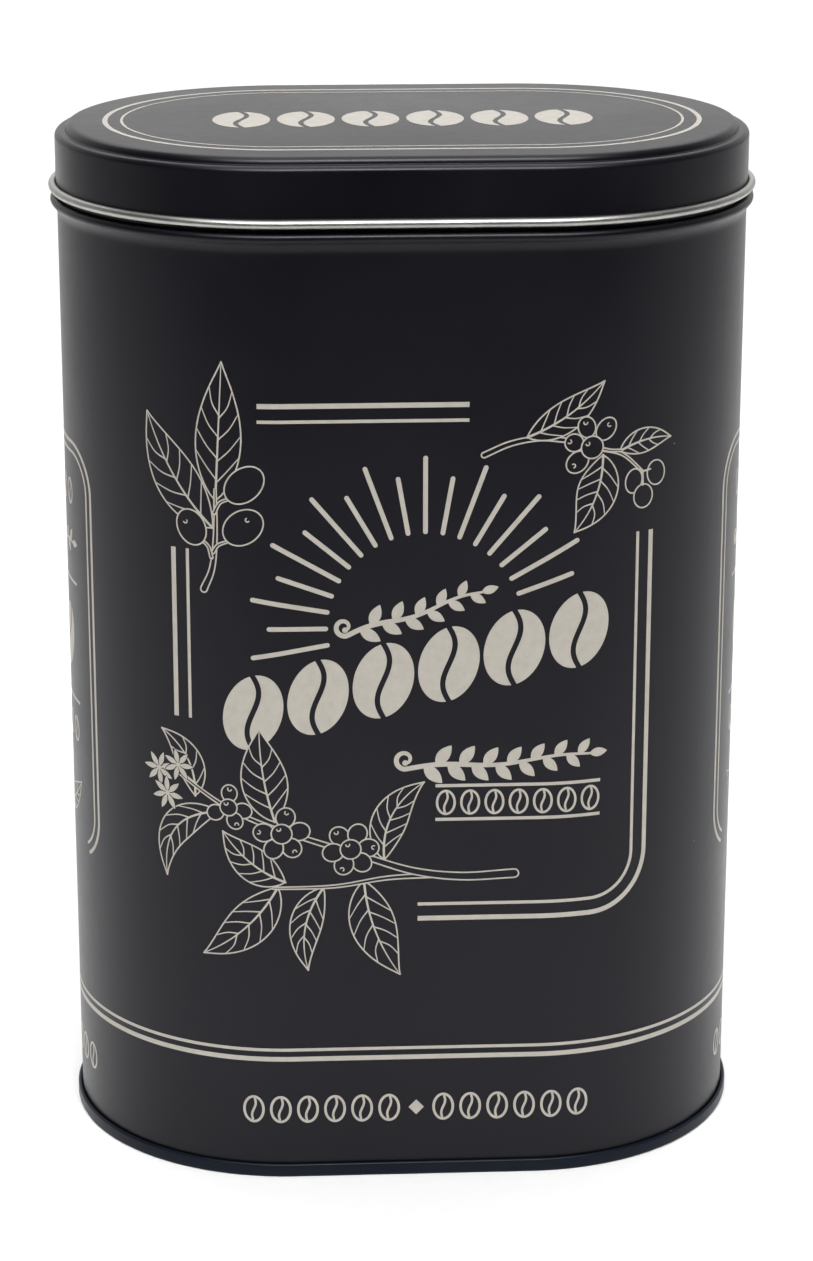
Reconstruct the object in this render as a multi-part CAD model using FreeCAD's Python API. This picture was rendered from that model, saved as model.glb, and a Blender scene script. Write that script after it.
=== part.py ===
"""Obround slip-lid coffee tin: a lock-seamed tinplate body, a double-seamed bottom end with its sealing ring,
and a drawn slip lid with a rolled edge.

Frame, in millimetres: the origin is on the standing plane under the middle of the tin, +Z up, +X along the
long way of the plan and -Y towards the front. Every sheet part is one bent strip of tinplate. Its section is
drawn at the front wall as a path of straight and round bends along the middle of the sheet, in the coordinates
(out, z): out is the distance outside the body wall's outer face. The section is then carried round the
obround plan, which is two flats and two half-round ends.
"""

import FreeCAD
import Part
import math
import os

Vector = FreeCAD.Vector

# ---- driving dimensions ----
WALL_RADIUS = 42.2  # outer radius of the half-round ends
HALF_FLAT = 22.8  # half the length of the straight front and back
TIN_HEIGHT = 197.6  # standing plane to the top of the lid
SHEET = 0.25  # tinplate thickness
SEAM_GAP = 0.05  # between the folded layers of the bottom seam
SEAM_HEIGHT = 2.6  # bottom double seam
BODY_HOOK_CLEARANCE = 0.075  # body hook's tip to the centre of the end hook's turn
END_HOOK_CLEARANCE = 0.125  # end hook's tip to the centre of the body hook's turn
COMPOUND_BED = 0.25  # room for sealing compound under the turn of the body's hook
COMPOUND_WIDTH = 0.5
COMPOUND_EASE = 0.01  # between the compound and the sheet above and below it

# body neck and stop bead
BEAD_START_Z = 180.6  # where the wall starts to flare out
BEAD_FLARE_RADIUS = 3.0
BEAD_FLARE_ANGLE = 48.0
BEAD_CREST_RADIUS = 0.8
NECK_INSET = 0.3  # neck's outer face inside the wall's outer face
NECK_BEND_RADIUS = 0.4
MOUTH_CURL_RADIUS = 0.6
MOUTH_CURL_ANGLE = 290.0
MOUTH_CURL_Z = 195.05  # centre of the curled mouth edge

# lid
SKIRT_OUT = 0.15  # skirt's outer face outside the wall's outer face
LID_CURL_RADIUS = 0.7
LID_CURL_ANGLE = 300.0
LID_CURL_Z = 186.05  # centre of the lid's rolled edge
LID_CORNER_RADIUS = 1.0
LEDGE_WIDTH = 0.7
STEP_RISE = 1.4  # ledge up to the raised top panel
STEP_ANGLE = 80.0
STEP_FOOT_RADIUS = 0.3
STEP_TOP_RADIUS = 1.3

# bottom end
FOOT_FLAT = 0.4  # flat ring that the tin stands on
PANEL_LIFT = 4.2  # middle of the sheet above the standing plane, at the panel's edge
PANEL_CORNER_RADIUS = 1.0
PANEL_RIM_WIDTH = 3.0
PANEL_DROP = 0.8  # the middle of the bottom panel steps down by this much
PANEL_STEP_RADIUS = 0.6

# body lock seam, down the +X round end
SEAM_ANGLE = 136.0  # round the end from the front, so that it lies towards the back
SEAM_WIDTH = 3.4
SEAM_RIDGE = 0.55  # folded layers standing inside the wall
SEAM_LINE_WIDTH = 0.3
SEAM_LINE_DEPTH = 0.1
SEAM_LOW_Z = 5.6
SEAM_HIGH_Z = 180.0

# ---- worked-out places ----
HALF_SHEET = SHEET / 2
LAYER = SHEET + SEAM_GAP  # from one folded layer to the next
WALL_MID = -HALF_SHEET
NECK_MID = -NECK_INSET - HALF_SHEET
SKIRT_MID = SKIRT_OUT - HALF_SHEET
CHUCK_MID = WALL_MID - LAYER
END_HOOK_MID = WALL_MID + LAYER
BODY_HOOK_MID = WALL_MID + 2 * LAYER
SEAM_FACE_MID = WALL_MID + 3 * LAYER
FOOT_RADIUS = (SEAM_FACE_MID - CHUCK_MID - FOOT_FLAT) / 2
HOOK_LOW_Z = SHEET + COMPOUND_BED + LAYER + HALF_SHEET  # centre of the body hook's turn
HOOK_HIGH_Z = SEAM_HEIGHT - LAYER - HALF_SHEET  # centre of the end hook's turn
BODY_HOOK_TIP_Z = HOOK_HIGH_Z - BODY_HOOK_CLEARANCE
END_HOOK_TIP_Z = HOOK_LOW_Z + END_HOOK_CLEARANCE

UP, DOWN, INWARD, OUTWARD = 90.0, -90.0, 180.0, 0.0


def line(length):
    """A straight stretch of a section path."""
    return ("line", length)


def turn(radius, angle):
    """A round bend of a section path: a positive angle turns left."""
    return ("turn", radius, angle)


def front(out, z):
    """The point of the front section plane at that distance outside the wall's face, and that height."""
    return Vector(0, -(WALL_RADIUS + out), z)


def walk(start, heading, steps):
    """Follows a path and gives, for each step, three stations (start, middle, end) as (out, z, direction)."""
    out, z = start
    direction = math.radians(heading)
    walked = []
    for step in steps:
        stations = [(out, z, direction)]
        if step[0] == "line":
            for share in (0.5, 1.0):
                reach = step[1] * share
                stations.append((out + reach * math.cos(direction), z + reach * math.sin(direction), direction))
        else:
            side = math.copysign(1.0, step[2])
            centre_out = out - side * step[1] * math.sin(direction)
            centre_z = z + side * step[1] * math.cos(direction)
            for share in (0.5, 1.0):
                turned = direction + math.radians(step[2]) * share
                stations.append(
                    (
                        centre_out + side * step[1] * math.sin(turned),
                        centre_z - side * step[1] * math.cos(turned),
                        turned,
                    )
                )
        walked.append((step[0], stations))
        out, z, direction = stations[-1]
    return walked


def section_edges(walked, side):
    """The edges of one face of the sheet: side is +1 for the left of the path and -1 for its right."""
    edges = []
    for kind, stations in walked:
        points = [
            front(o - side * HALF_SHEET * math.sin(d), z + side * HALF_SHEET * math.cos(d)) for o, z, d in stations
        ]
        if kind == "line":
            edges.append(Part.LineSegment(points[0], points[2]).toShape())
        else:
            edges.append(Part.Arc(*points).toShape())
    return edges


def sheet_section(start, heading, steps):
    """The section of one bent strip of sheet as a face in the front plane."""
    walked = walk(start, heading, steps)
    left = section_edges(walked, 1)
    right = section_edges(walked, -1)
    caps = [
        Part.LineSegment(left[0].Vertexes[0].Point, right[0].Vertexes[0].Point).toShape(),
        Part.LineSegment(left[-1].Vertexes[-1].Point, right[-1].Vertexes[-1].Point).toShape(),
    ]
    wire = Part.Wire(Part.__sortEdges__(left + right + caps))
    return Part.Face(wire)


def carry_round(section):
    """Carries a front section round the obround plan: two straight flats and two half-round ends."""
    up = Vector(0, 0, 1)
    flat = section.translated(Vector(-HALF_FLAT, 0, 0)).extrude(Vector(2 * HALF_FLAT, 0, 0))
    end = section.translated(Vector(HALF_FLAT, 0, 0)).revolve(Vector(HALF_FLAT, 0, 0), up, 180)
    pieces = [flat, end]
    for half in (flat, end):
        turned = half.copy()
        turned.rotate(Vector(0, 0, 0), up, 180)
        pieces.append(turned)
    joined = pieces[0].multiFuse(pieces[1:]).removeSplitter()
    return joined.Solids[0]


def path_end(start, heading, steps):
    """Where a path ends, as (out, z)."""
    out, z, _ = walk(start, heading, steps)[-1][1][-1]
    return out, z


def seam_strip(width, deepest, thick):
    """An upright strip along the lock seam, reaching that deep into the wall from its outer face."""
    corner = Vector(-SEAM_WIDTH / 2, -WALL_RADIUS + deepest - thick, SEAM_LOW_Z)
    strip = Part.makeBox(width, thick, SEAM_HIGH_Z - SEAM_LOW_Z, corner)
    strip.rotate(Vector(0, 0, 0), Vector(0, 0, 1), SEAM_ANGLE)
    return strip.translated(Vector(HALF_FLAT, 0, 0))


def body_shell():
    """The wall: hooked at the bottom seam, beaded under the lid, necked and curled in at the mouth."""
    bead = [
        turn(BEAD_FLARE_RADIUS, -BEAD_FLARE_ANGLE),
        turn(BEAD_CREST_RADIUS, BEAD_FLARE_ANGLE + 90.0),
    ]
    crest_out, crest_z = path_end((WALL_MID, BEAD_START_Z), UP, bead)
    bead += [line(crest_out - NECK_BEND_RADIUS - NECK_MID), turn(NECK_BEND_RADIUS, -90.0)]
    steps = [
        line(BODY_HOOK_TIP_Z - HOOK_LOW_Z),
        turn((BODY_HOOK_MID - WALL_MID) / 2, -180.0),
        line(BEAD_START_Z - HOOK_LOW_Z),
        *bead,
        line(MOUTH_CURL_Z - crest_z - NECK_BEND_RADIUS),
        turn(MOUTH_CURL_RADIUS, MOUTH_CURL_ANGLE),
    ]
    shell = carry_round(sheet_section((BODY_HOOK_MID, BODY_HOOK_TIP_Z), DOWN, steps))
    ridge = seam_strip(SEAM_WIDTH, SHEET + SEAM_RIDGE, HALF_SHEET + SEAM_RIDGE)
    groove = seam_strip(SEAM_LINE_WIDTH, SEAM_LINE_DEPTH, 2 * SEAM_LINE_DEPTH)
    return shell.fuse(ridge).cut(groove).removeSplitter().Solids[0]


def bottom_end():
    """The bottom: hooked round the body's flange, countersunk, with a panel that steps down in the middle."""
    step_angle = math.degrees(math.acos(1 - PANEL_DROP / (2 * PANEL_STEP_RADIUS)))
    rim_out = CHUCK_MID - PANEL_CORNER_RADIUS - PANEL_RIM_WIDTH
    step_run = 2 * PANEL_STEP_RADIUS * math.sin(math.radians(step_angle))
    steps = [
        line(HOOK_HIGH_Z - END_HOOK_TIP_Z),
        turn((SEAM_FACE_MID - END_HOOK_MID) / 2, -180.0),
        line(HOOK_HIGH_Z - FOOT_RADIUS - HALF_SHEET),
        turn(FOOT_RADIUS, -90.0),
        line(FOOT_FLAT),
        turn(FOOT_RADIUS, -90.0),
        line(PANEL_LIFT - PANEL_CORNER_RADIUS - FOOT_RADIUS - HALF_SHEET),
        turn(PANEL_CORNER_RADIUS, 90.0),
        line(PANEL_RIM_WIDTH),
        turn(PANEL_STEP_RADIUS, step_angle),
        turn(PANEL_STEP_RADIUS, -step_angle),
        line(WALL_RADIUS + rim_out - step_run),
    ]
    return carry_round(sheet_section((END_HOOK_MID, END_HOOK_TIP_Z), UP, steps))


def seam_compound():
    """The ring of sealing compound in the foot of the double seam, under the turn of the body's hook."""
    middle = (WALL_MID + BODY_HOOK_MID) / 2
    low = SHEET + COMPOUND_EASE
    high = SHEET + COMPOUND_BED - COMPOUND_EASE
    inner = middle - COMPOUND_WIDTH / 2
    outer = middle + COMPOUND_WIDTH / 2
    corners = [front(inner, low), front(outer, low), front(outer, high), front(inner, high)]
    return carry_round(Part.Face(Part.makePolygon(corners + corners[:1])))


def lid():
    """The lid: rolled edge, skirt, ledge and raised top panel, drawn from one sheet."""
    ledge_z = TIN_HEIGHT - STEP_RISE - HALF_SHEET
    slope = math.radians(STEP_ANGLE)
    ramp = (STEP_RISE - (STEP_FOOT_RADIUS + STEP_TOP_RADIUS) * (1 - math.cos(slope))) / math.sin(slope)
    step_run = (STEP_FOOT_RADIUS + STEP_TOP_RADIUS) * math.sin(slope) + ramp * math.cos(slope)
    panel_out = SKIRT_MID - LID_CORNER_RADIUS - LEDGE_WIDTH - step_run
    steps = [
        line(WALL_RADIUS + panel_out),
        turn(STEP_TOP_RADIUS, -STEP_ANGLE),
        line(ramp),
        turn(STEP_FOOT_RADIUS, STEP_ANGLE),
        line(LEDGE_WIDTH),
        turn(LID_CORNER_RADIUS, -90.0),
        line(ledge_z - LID_CORNER_RADIUS - LID_CURL_Z),
        turn(LID_CURL_RADIUS, LID_CURL_ANGLE),
    ]
    return carry_round(sheet_section((-WALL_RADIUS, TIN_HEIGHT - HALF_SHEET), OUTWARD, steps))


NODES = {
    "body_shell": body_shell,
    "bottom_end": bottom_end,
    "bottom_seam_compound": seam_compound,
    "lid": lid,
}


def main():
    os.makedirs("parts", exist_ok=True)
    for name, build in NODES.items():
        solid = build()
        if not solid.isValid():
            raise RuntimeError(name + " is not a valid solid")
        solid.exportStep("parts/" + name + ".step")
        box = solid.BoundBox
        print(name, "faces", len(solid.Faces), "volume", round(solid.Volume, 1), "mm3")
        print("   x", round(box.XMin, 2), round(box.XMax, 2), "y", round(box.YMin, 2), round(box.YMax, 2))
        print("   z", round(box.ZMin, 2), round(box.ZMax, 2))


main()
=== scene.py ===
"""Looks for the obround slip-lid coffee tin, built round its CAD frame.

Lengths are in millimetres, in the frame's axes, until a mesh is made in metres. Two flat coordinates
are used for what goes round the tin: u is the distance along the wall from the middle of the front, to
the right as seen from in front, and out is the distance outside the wall's outer face.

The sheet parts are bent strips of tinplate carried round the obround plan, with the lacquered and the
bare face of the sheet as two materials. The print is thin raised ink. Each motif is drawn flat, as
shapes laid one over another, then cut into triangles and laid on the wall or the lid.
"""

import math

import bpy
import bmesh
import numpy as np
from mathutils import Matrix, Vector
from mathutils.geometry import delaunay_2d_cdt


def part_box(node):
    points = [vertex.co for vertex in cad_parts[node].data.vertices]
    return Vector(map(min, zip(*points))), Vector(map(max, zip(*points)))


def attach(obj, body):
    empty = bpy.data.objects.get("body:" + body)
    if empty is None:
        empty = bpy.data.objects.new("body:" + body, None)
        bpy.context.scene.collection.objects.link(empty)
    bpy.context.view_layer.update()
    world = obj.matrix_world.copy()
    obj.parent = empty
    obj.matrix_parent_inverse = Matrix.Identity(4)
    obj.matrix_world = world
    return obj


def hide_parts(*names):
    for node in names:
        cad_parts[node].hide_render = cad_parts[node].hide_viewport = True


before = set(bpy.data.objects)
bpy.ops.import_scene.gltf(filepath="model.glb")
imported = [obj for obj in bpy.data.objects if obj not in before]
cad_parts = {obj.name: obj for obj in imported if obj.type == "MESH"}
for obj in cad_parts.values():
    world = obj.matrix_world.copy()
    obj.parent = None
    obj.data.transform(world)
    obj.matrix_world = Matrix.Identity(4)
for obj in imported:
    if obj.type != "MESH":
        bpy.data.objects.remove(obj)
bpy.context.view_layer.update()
MM = 0.001

# ---- sheet and folds ----
SHEET = 0.25
HALF_SHEET = SHEET / 2
SEAM_GAP = 0.05  # between the folded layers of the bottom seam
LAYER = SHEET + SEAM_GAP
SEAM_OUT = 0.9  # the bottom seam's face outside the wall
ARC_STEP = 9.0  # degrees of a bend between two rows of vertices
UP, DOWN, OUTWARD = 90.0, -90.0, 0.0

# ---- sizes read from the frame ----
BODY_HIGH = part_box("body_shell")[1] / MM
END_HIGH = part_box("bottom_end")[1] / MM
LID_LOW, LID_HIGH = (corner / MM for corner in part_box("lid"))
WALL_RADIUS = END_HIGH.y - SEAM_OUT
HALF_FLAT = END_HIGH.x - END_HIGH.y
TIN_HEIGHT = LID_HIGH.z
BEAD_OUT = BODY_HIGH.y - WALL_RADIUS
LID_CURL_OUT = LID_HIGH.y - WALL_RADIUS
ROUND_LENGTH = math.pi * WALL_RADIUS
HALF_PERIMETER = 2 * HALF_FLAT + ROUND_LENGTH

# ---- body ----
WALL_MID = -HALF_SHEET
END_HOOK_MID = WALL_MID + LAYER
BODY_HOOK_MID = WALL_MID + 2 * LAYER
SEAM_FACE_MID = WALL_MID + 3 * LAYER
CHUCK_MID = WALL_MID - LAYER
SEAM_TOP_Z = 2.6
COMPOUND_BED = 0.25  # room for the compound under the body's hook
HOOK_LOW_Z = SHEET + COMPOUND_BED + LAYER + HALF_SHEET  # centre of the body hook's turn
HOOK_HIGH_Z = SEAM_TOP_Z - LAYER - HALF_SHEET  # centre of the end hook's turn
BEAD_START_Z = 180.6
BEAD_FLARE_RADIUS = 3.0
BEAD_CREST_RADIUS = 0.8
NECK_INSET = 0.3  # of the neck's face from the wall's
NECK_MID = -NECK_INSET - HALF_SHEET
NECK_BEND_RADIUS = 0.4
MOUTH_CURL_RADIUS = 0.6
MOUTH_CURL_ANGLE = 290.0
MOUTH_CURL_Z = BODY_HIGH.z - MOUTH_CURL_RADIUS - HALF_SHEET

# ---- lock seam down the right round end, towards the back ----
LOCK_SEAM_TURN = 136.0  # degrees round the end, from its front
LOCK_SEAM_U = HALF_FLAT + math.radians(LOCK_SEAM_TURN) * WALL_RADIUS
LOCK_SEAM_LOW_Z = 5.6
LOCK_SEAM_HIGH_Z = 180.0
LOCK_SEAM_FADE = 0.5
# (place across the seam, how far it moves that face of the wall outwards)
LOCK_SEAM_OUTSIDE = ((-2.4, 0.0), (-1.9, 0.03), (-1.72, -0.12), (-1.5, 0.05), (1.5, 0.05), (2.4, 0.0))
LOCK_SEAM_INSIDE = ((-2.0, 0.0), (-1.7, -0.55), (1.7, -0.55), (2.0, 0.0))

# ---- lid ----
LID_CURL_RADIUS = 0.7
LID_CURL_ANGLE = 300.0
LID_CURL_Z = LID_LOW.z + LID_CURL_RADIUS + HALF_SHEET
SKIRT_MID = LID_CURL_OUT - 2 * LID_CURL_RADIUS - HALF_SHEET
LID_CORNER_RADIUS = 1.0
LEDGE_WIDTH = 0.7
STEP_RISE = 1.4
STEP_ANGLE = 80.0
STEP_FOOT_RADIUS = 0.3
STEP_TOP_RADIUS = 1.3

# ---- bottom end ----
FOOT_FLAT = 0.4
FOOT_RADIUS = (SEAM_FACE_MID - CHUCK_MID - FOOT_FLAT) / 2
PANEL_LIFT = 4.2
PANEL_CORNER_RADIUS = 1.0
PANEL_RIM_WIDTH = 3.0
PANEL_DROP = 0.8
PANEL_STEP_RADIUS = 0.6

# ---- meshes ----
ROUND_STEPS = 128  # columns of vertices on each round end, an even number
HALF_FLAT_STEPS = 6
SHARP_ANGLE = 35.0  # degrees between two faces that meet in a sharp edge

# ---- print ----
INK_RISE = 0.03  # ink's face outside the sheet
INK_SINK = 0.02  # ink's back inside the sheet
PRINT_LIFT = 0.4  # the artwork's zero line above the standing plane
THICK_RULE = 0.95
THIN_RULE = 0.62
SIDE_RULE = 0.55
FINE_LINE = 0.27
VEIN_LINE = 0.18
BEAN_LINE = 0.45  # of the small outlined beans
FRONT, RIGHT, BACK, LEFT = 0.0, HALF_PERIMETER / 2, HALF_PERIMETER, -HALF_PERIMETER / 2


# ======== The obround plan ========


def wrapped(u):
    """The same place on the wall with u between minus and plus half the perimeter."""
    return (u + HALF_PERIMETER) % (2 * HALF_PERIMETER) - HALF_PERIMETER


def on_plan(u, out):
    """The (x, y) of a place that far along the wall and that far outside it."""
    u = wrapped(u)
    side = math.copysign(1.0, u)
    along = abs(u)
    if along <= HALF_FLAT:
        return u, -(WALL_RADIUS + out)
    if along <= HALF_FLAT + ROUND_LENGTH:
        angle = (along - HALF_FLAT) / WALL_RADIUS
        reach = WALL_RADIUS + out
        return side * (HALF_FLAT + reach * math.sin(angle)), -reach * math.cos(angle)
    return side * (HALF_PERIMETER - along), WALL_RADIUS + out


def plan_stations():
    """Places round the whole plan from the middle of the back, mirrored both front to back and across."""
    half = np.concatenate(
        [
            np.linspace(0, HALF_FLAT, HALF_FLAT_STEPS + 1),
            np.linspace(HALF_FLAT, HALF_FLAT + ROUND_LENGTH, ROUND_STEPS + 1)[1:],
            np.linspace(HALF_FLAT + ROUND_LENGTH, HALF_PERIMETER, HALF_FLAT_STEPS + 1)[1:],
        ]
    )
    return np.concatenate([-half[:0:-1], half[:-1]])


STATIONS = plan_stations()
SEAM_EDGES = [LOCK_SEAM_U + offset for offset, _ in LOCK_SEAM_OUTSIDE + LOCK_SEAM_INSIDE]
BODY_STATIONS = np.unique(np.concatenate([STATIONS, SEAM_EDGES]).round(6))


def lock_seam_relief(u, z, profile):
    """How far the lock seam moves one face of the wall outwards."""
    if not LOCK_SEAM_LOW_Z <= z <= LOCK_SEAM_HIGH_Z:
        return 0.0
    offsets, heights = zip(*profile)
    return float(np.interp(wrapped(u) - LOCK_SEAM_U, offsets, heights))


# ======== Meshes ========


def make_object(name, vertices, faces, materials, face_materials=None):
    """An object from vertices in millimetres, faces outwards, with sharp edges where they meet steeply."""
    mesh = bpy.data.meshes.new(name)
    mesh.from_pydata([Vector(v) * MM for v in vertices], [], faces)
    for material in materials:
        mesh.materials.append(material)
    if face_materials is not None:
        mesh.polygons.foreach_set("material_index", face_materials)
    mesh.polygons.foreach_set("use_smooth", [True] * len(mesh.polygons))
    work = bmesh.new()
    work.from_mesh(mesh)
    bmesh.ops.recalc_face_normals(work, faces=work.faces)
    work.to_mesh(mesh)
    work.free()
    mesh.set_sharp_from_angle(angle=math.radians(SHARP_ANGLE))
    mesh.validate()
    piece = bpy.data.objects.new(name, mesh)
    bpy.context.scene.collection.objects.link(piece)
    return piece


def place_piece(piece, body, slot, *nodes):
    """Rides the piece on its body and hides the CAD nodes that it stands for. slot, the name of its finish,
    is not used.
    """
    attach(piece, body)
    if nodes:
        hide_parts(*nodes)


# ---- bent sheet ----


def line(length):
    """A straight stretch of a section path."""
    return ("line", length)


def turn(radius, angle):
    """A round bend of a section path: a positive angle turns left."""
    return ("turn", radius, angle)


def walk(start, heading, steps):
    """The stations (out, z, direction) along the middle of the sheet."""
    out, z = start
    direction = math.radians(heading)
    walked = [(out, z, direction)]
    for step in steps:
        if step[0] == "line":
            out += step[1] * math.cos(direction)
            z += step[1] * math.sin(direction)
            walked.append((out, z, direction))
            continue
        side = math.copysign(1.0, step[2])
        centre_out = out - side * step[1] * math.sin(direction)
        centre_z = z + side * step[1] * math.cos(direction)
        count = max(2, math.ceil(abs(step[2]) / ARC_STEP))
        for k in range(1, count + 1):
            turned = direction + math.radians(step[2]) * k / count
            out = centre_out + side * step[1] * math.sin(turned)
            z = centre_z - side * step[1] * math.cos(turned)
            walked.append((out, z, turned))
        direction = turned
    return walked


def faces_of_sheet(walked):
    """The section's outline as (out, z): the left face from start to end, then the right face back."""
    left = [(o - HALF_SHEET * math.sin(d), z + HALF_SHEET * math.cos(d)) for o, z, d in walked]
    right = [(o + HALF_SHEET * math.sin(d), z - HALF_SHEET * math.cos(d)) for o, z, d in walked]
    return left + right[::-1]


def carry_round(outline, stations, relief=None):
    """Vertices of an outline carried round the plan, one column of them for each station."""
    vertices = []
    for u in stations:
        for index, (out, z) in enumerate(outline):
            moved = out + relief(u, z, index) if relief else out
            x, y = on_plan(u, moved)
            vertices.append((x, y, z))
    return vertices


def sheet_part(name, walked, stations, materials, closed, relief=None):
    """A bent strip of sheet round the plan. materials are those of its left face, right face and cut
    edges. A strip that isn't closed starts at the edge of a flat panel, which is filled on both faces."""
    outline = faces_of_sheet(walked)
    half = len(walked)
    rows = len(outline)
    columns = len(stations)
    vertices = carry_round(outline, stations, relief)
    faces = []
    face_materials = []
    for row in range(rows if closed else rows - 1):
        above = (row + 1) % rows
        kind = 0 if row < half - 1 else 1
        if row in (half - 1, rows - 1):
            kind = 2
        for column in range(columns):
            beside = (column + 1) % columns
            faces.append(
                (
                    column * rows + row,
                    beside * rows + row,
                    beside * rows + above,
                    column * rows + above,
                )
            )
            face_materials.append(kind)
    if not closed:
        for row, kind in ((0, 0), (rows - 1, 1)):
            for face in panel_faces(columns):
                faces.append([column * rows + row for column in face])
                face_materials.append(kind)
    return make_object(name, vertices, faces, materials, face_materials)


def panel_faces(columns):
    """Strips from front to back that fill a ring of stations mirrored front to back."""
    faces = []
    for k in range(columns // 4, 3 * columns // 4):
        ring = [k, k + 1, (columns // 2 - k - 1) % columns, (columns // 2 - k) % columns]
        faces.append(list(dict.fromkeys(ring)))
    return faces


# ======== Materials ========


def add_node(tree, kind, settings=None, **inputs):
    """A node with its settings and inputs set, or linked where an input is given a socket. Inputs are
    named with _ for a space, or as i and their number where names repeat."""
    node = tree.nodes.new(kind)
    for key, value in (settings or {}).items():
        setattr(node, key, value)
    for key, value in inputs.items():
        name = key.replace("_", " ")
        numbered = name[0] == "i" and name[1:].isdigit()
        socket = node.inputs[int(name[1:]) if numbered else name]
        if isinstance(value, bpy.types.NodeSocket):
            tree.links.new(value, socket)
        else:
            socket.default_value = value
    return node


def new_material(name):
    """An empty material with its shader, and the object's own coordinates."""
    material = bpy.data.materials.new(name)
    material.use_nodes = True
    tree = material.node_tree
    tree.nodes.clear()
    shader = add_node(tree, "ShaderNodeBsdfPrincipled")
    output = add_node(tree, "ShaderNodeOutputMaterial")
    tree.links.new(shader.outputs["BSDF"], output.inputs["Surface"])
    place = add_node(tree, "ShaderNodeTexCoord").outputs["Object"]
    return material, tree, shader, place


def noise(tree, place, size, detail, roughness=0.5):
    """A noise pattern whose blotches are about that many millimetres across."""
    return add_node(
        tree,
        "ShaderNodeTexNoise",
        Vector=place,
        Scale=1 / (size * MM),
        Detail=detail,
        Roughness=roughness,
    ).outputs["Fac"]


def stretch(tree, value, low, high, to_low, to_high):
    """The value mapped from one range to another, and held inside it."""
    return add_node(
        tree,
        "ShaderNodeMapRange",
        Value=value,
        From_Min=low,
        From_Max=high,
        To_Min=to_low,
        To_Max=to_high,
    ).outputs["Result"]


def mix_colour(tree, share, first, second):
    """A mix of two colours."""
    mixed = add_node(tree, "ShaderNodeMix", {"data_type": "RGBA"}, Factor=share, i6=first, i7=second)
    return mixed.outputs[2]


def multiply(tree, first, second):
    """The product of two values."""
    return add_node(tree, "ShaderNodeMath", {"operation": "MULTIPLY"}, i0=first, i1=second).outputs[0]


def lacquer(name, colour, roughness, shine=0.26):
    """Satin lacquer on tinplate: a faint orange peel, a soft haze of handling and a few specks of dust."""
    material, tree, shader, place = new_material(name)
    shader.inputs["Specular IOR Level"].default_value = shine
    shader.inputs["Specular Tint"].default_value = (0.94, 0.93, 1.0, 1.0)
    haze = noise(tree, place, 38.0, 4.0)
    rubbed = noise(tree, place, 2.4, 6.0, 0.65)
    speck_cells = add_node(tree, "ShaderNodeTexVoronoi", Vector=place, Scale=1 / (7.0 * MM))
    speck = stretch(tree, speck_cells.outputs["Distance"], 0.012, 0.026, 1.0, 0.0)
    here_and_there = stretch(tree, noise(tree, place, 17.0, 1.0), 0.55, 0.6, 0.0, 0.5)
    dust = multiply(tree, speck, here_and_there)
    lighter = tuple(channel * 1.25 + 0.002 for channel in colour) + (1.0,)
    toned = mix_colour(tree, stretch(tree, haze, 0.3, 0.7, 0.0, 1.0), colour + (1.0,), lighter)
    tree.links.new(mix_colour(tree, dust, toned, (0.4, 0.39, 0.37, 1.0)), shader.inputs["Base Color"])
    worn = stretch(tree, haze, 0.3, 0.7, roughness - 0.03, roughness + 0.03)
    fine = stretch(tree, rubbed, 0.35, 0.65, -0.012, 0.012)
    rough = add_node(tree, "ShaderNodeMath", {"operation": "ADD"}, i0=worn, i1=fine).outputs[0]
    tree.links.new(rough, shader.inputs["Roughness"])
    peel = noise(tree, place, 0.9, 2.0)
    bump = add_node(tree, "ShaderNodeBump", Strength=0.12, Distance=0.02 * MM, Height=peel)
    tree.links.new(bump.outputs["Normal"], shader.inputs["Normal"])
    return material


def tinplate(name, colour, roughness):
    """Bare tinplate, with the long fine marks of the rolling mill down the sheet and a faint mottle."""
    material, tree, shader, place = new_material(name)
    along = add_node(tree, "ShaderNodeMapping", Vector=place, Scale=(1.0, 1.0, 0.04)).outputs["Vector"]
    marks = noise(tree, along, 1.4, 4.0)
    mottle = noise(tree, place, 6.0, 3.0)
    dull = tuple(channel * 0.86 for channel in colour) + (1.0,)
    toned = mix_colour(tree, stretch(tree, mottle, 0.35, 0.7, 0.0, 1.0), colour + (1.0,), dull)
    tree.links.new(toned, shader.inputs["Base Color"])
    tree.links.new(
        stretch(tree, marks, 0.3, 0.7, roughness - 0.02, roughness + 0.02), shader.inputs["Roughness"]
    )
    bump = add_node(tree, "ShaderNodeBump", Strength=0.02, Distance=0.01 * MM, Height=marks)
    tree.links.new(bump.outputs["Normal"], shader.inputs["Normal"])
    shader.inputs["Metallic"].default_value = 1.0
    return material


def printing_ink(name, colour):
    """Cream printing ink: nearly even, with a faint mottle where it lies thinner over the black."""
    material, tree, shader, place = new_material(name)
    mottle = noise(tree, place, 1.6, 5.0, 0.6)
    thinner = tuple(channel * 0.9 for channel in colour) + (1.0,)
    toned = mix_colour(tree, stretch(tree, mottle, 0.4, 0.75, 0.0, 1.0), colour + (1.0,), thinner)
    tree.links.new(toned, shader.inputs["Base Color"])
    tree.links.new(stretch(tree, mottle, 0.3, 0.7, 0.4, 0.5), shader.inputs["Roughness"])
    return material


def compound(name):
    """Sealing compound: dull, tan and slightly lumpy."""
    material, tree, shader, place = new_material(name)
    lumps = noise(tree, place, 0.8, 4.0)
    toned = mix_colour(tree, lumps, (0.3, 0.25, 0.16, 1.0), (0.42, 0.36, 0.25, 1.0))
    tree.links.new(toned, shader.inputs["Base Color"])
    tree.links.new(stretch(tree, lumps, 0.3, 0.7, 0.7, 0.85), shader.inputs["Roughness"])
    return material


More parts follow.
